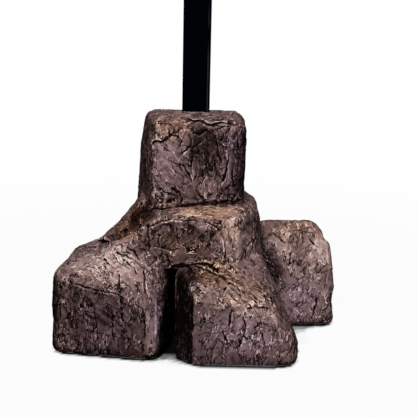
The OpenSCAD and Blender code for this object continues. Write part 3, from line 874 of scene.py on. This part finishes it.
# Socket: an injection-moulded square cup with a flange, and with a drain hole in its floor.
# It is pushed up into the neck from below, and its flange lies against the ceiling of the shell.
def socket_moulding():
    """Dark grey plastic with a fine matt grain."""
    material, link, shader = finish_named("socket_moulding")
    fine = link.grain(link.place(), 1100, 3, 0.6)
    colour = fine.between(0.3, 0.7).over(rgb(0.018, 0.018, 0.020), rgb(0.030, 0.030, 0.033))
    feed(shader, Base_Color=colour, Roughness=fine * 0.25 + 0.40, Normal=link.bump(fine, 0.00015, 0.5))
    return material


dress("post_socket", socket_moulding())


# Screws: four zinc-plated steel screws with pan heads.
# They are driven up through the socket's flange into the underside of the neck.
def zinc_plate():
    """Bright zinc with a dull haze over it."""
    material, link, shader = finish_named("zinc_plate")
    place = link.place()
    haze = link.grain(place, 420, 4, 0.6)
    colour = haze.between(0.35, 0.65).over(rgb(0.42, 0.43, 0.44), rgb(0.60, 0.61, 0.60))
    feed(shader, Base_Color=colour, Roughness=haze * 0.3 + 0.25, Normal=link.bump(haze, 0.0001, 0.4))
    feed(shader, Metallic=1.0)
    return material


dress("socket_screws", zinc_plate())


# Pads: four black rubber discs that keep the casting level and off what it stands on.
# Each has a stem, which is pushed up into the bored boss in its foot.
def pad_rubber():
    """Dull black rubber, a little dusty."""
    material, link, shader = finish_named("pad_rubber")
    fine = link.grain(link.place(), 700, 4, 0.65)
    colour = fine.between(0.3, 0.7).over(rgb(0.012, 0.012, 0.012), rgb(0.026, 0.025, 0.024))
    feed(shader, Base_Color=colour, Roughness=fine * 0.2 + 0.70, Normal=link.bump(fine, 0.0003, 0.6))
    feed(shader, Specular_IOR_Level=0.3)
    return material


rubber = pad_rubber()
for pad in PADS:
    dress(pad, rubber)


# Studio: a wide white table under a soft key lamp in front, with three weaker ones round the back.
# The table shines white by itself, so it melts into the white behind it. Near the object it is grey cloth lit
# by the lamps, which keeps its shadow and is partly a painted darker sheet, and under the casting, between
# its feet and behind it, it is painted near black as painted shadow.
TABLE_HALF, TABLE_FINE, TABLE_CELLS = 6.0, 0.16, 108
steps = np.linspace(-TABLE_FINE, TABLE_FINE, TABLE_CELLS)
lines = np.concatenate([[-TABLE_HALF], steps, [TABLE_HALF]])
count = len(lines)
spots = [(float(x), float(y), 0.0) for y in lines for x in lines]
squares = [
    (row * count + k, row * count + k + 1, (row + 1) * count + k + 1, (row + 1) * count + k)
    for row in range(count - 1)
    for k in range(count - 1)
]
table_mesh = bpy.data.meshes.new("table")
table_mesh.from_pydata(spots, [], squares)
hidden = [
    sum(tree.ray_cast(Vector(spot) / MM, ray, OVERHEAD)[0] is not None for ray in UP_RAYS) / len(UP_RAYS)
    for spot in spots
]
hidden = np.array(hidden)
ground = np.array(spots) / MM
# Painted shadow: the grey cloth reaches out behind the casting.
past = np.maximum(abs(ground[:, 0] + 15) - 28, 0) ** 2
past = past + np.maximum(abs(ground[:, 1] - 66) - 40, 0) ** 2
under = np.maximum(ramp(hidden, 0.5, 0.7), 1 - ramp(np.sqrt(past), 0, 36))
# Painted shadow: the floor in the slot between the feet and behind it turns near black.
mouth = (1 - ramp(abs(ground[:, 0] + 30), 8, 22)) * ramp(ground[:, 1], -82, -76)
mouth *= 1 - ramp(ground[:, 1], 112, 136)
cave = np.maximum(mouth, ramp(hidden, 0.72, 0.9))
under = np.maximum(under, cave)
for name, values in {"under": under, "cave": cave}.items():
    layer = table_mesh.attributes.new(name, "FLOAT", "POINT")
    layer.data.foreach_set("value", values.astype(np.float32))
table = bpy.data.objects.new("table", table_mesh)
bpy.context.scene.collection.objects.link(table)


def seen_white(link):
    """1 for the rays that show the backdrop as it is: the camera's own, and mirrored ones."""
    path = link.node("ShaderNodeLightPath", {}, {}, "Is Camera Ray")
    rays = path.socket.node.outputs
    glossy, through = Link(link.tree, rays["Is Glossy Ray"]), Link(link.tree, rays["Is Transmission Ray"])
    return link.sum("MINIMUM", path + glossy + through, 1.0)


paper = bpy.data.materials.new("white_table")
paper.use_nodes = True
paper.node_tree.nodes.clear()
link = Link(paper.node_tree)
away = link.node("ShaderNodeVectorMath", {"operation": "LENGTH"}, {0: link.place()}, "Value")
glow = seen_white(link) * (1 - link.field("under")) * (away.between(0.2, 1.0) * 0.04 + 0.96)
fleck = link.grain(link.place(), 900, 2)
cloth_and_shade_colour = fleck.over(rgb(0.16, 0.16, 0.16), rgb(0.19, 0.19, 0.19))
# Painted shadow: near-black cloth where the shade lies.
cloth_and_shade_colour = link.field("cave").over(cloth_and_shade_colour, rgb(0.004, 0.003, 0.003))
cloth = link.node("ShaderNodeBsdfDiffuse", {}, {"Color": cloth_and_shade_colour})
white = link.node("ShaderNodeEmission", {}, {"Color": rgb(1, 1, 1), "Strength": 1.0})
mixed = link.node("ShaderNodeMixShader", {}, {0: glow, 1: cloth, 2: white})
sheet = paper.node_tree.nodes.new("ShaderNodeOutputMaterial")
paper.node_tree.links.new(mixed.socket, sheet.inputs["Surface"])
table_mesh.materials.append(paper)

world = bpy.data.worlds.new("studio")
bpy.context.scene.world = world
world.use_nodes = True
world.node_tree.nodes.clear()
link = Link(world.node_tree)
shown = link.node("ShaderNodeBackground", {}, {"Color": rgb(1, 1, 1), "Strength": 1.0})
lit = link.node("ShaderNodeBackground", {}, {"Color": rgb(1, 1, 1), "Strength": 0.10})
both = link.node("ShaderNodeMixShader", {}, {0: seen_white(link), 1: lit, 2: shown})
sky_out = world.node_tree.nodes.new("ShaderNodeOutputWorld")
world.node_tree.links.new(both.socket, sky_out.inputs["Surface"])


LAMP_AIM = Vector((0, 0, 0.10))


def lamp(name, at, size, watts):
    """A square softbox that looks at the middle of the casting."""
    light = bpy.data.lights.new(name, "AREA")
    light.size, light.energy = size, watts
    holder = bpy.data.objects.new(name, light)
    holder.location = at
    holder.rotation_euler = (LAMP_AIM - Vector(at)).to_track_quat("-Z", "Y").to_euler()
    bpy.context.scene.collection.objects.link(holder)


lamp("key_light", (-0.22, -1.15, 1.15), 0.30, 30)
lamp("back_light", (0.9, 1.3, 1.4), 0.9, 6)
lamp("right_light", (1.3, 0.45, 0.45), 0.7, 11)
lamp("left_light", (-1.0, 1.5, 0.55), 0.7, 11)

# Camera: straight in front of the casting, looking down a little, and turned by a small roll.
# It stands at the distance at which the feet and the neck have their right share of the view.
PITCH, ROLL = math.radians(13.5), math.radians(1.3)
FOCAL, VIEW_WIDTH, SENSOR = 750, 417, 36
AIM, DISTANCE = Vector((0.0053, 0.0, 0.115)), 0.715
ahead = Vector((0, math.cos(PITCH), -math.sin(PITCH)))
right = Vector((1, 0, 0))
up = right.cross(ahead)
turned_right = right * math.cos(ROLL) + up * math.sin(ROLL)
turned_up = up * math.cos(ROLL) - right * math.sin(ROLL)
camera = bpy.data.objects.new("camera", bpy.data.cameras.new("camera"))
camera.data.lens = FOCAL / VIEW_WIDTH * SENSOR
camera.data.sensor_width = SENSOR
camera.data.clip_start = 0.01
pose = Matrix((turned_right, turned_up, -ahead)).transposed().to_4x4()
pose.translation = AIM - ahead * DISTANCE
camera.matrix_world = pose
bpy.context.scene.collection.objects.link(camera)
bpy.context.scene.camera = camera
bpy.context.scene.view_settings.view_transform = "Standard"
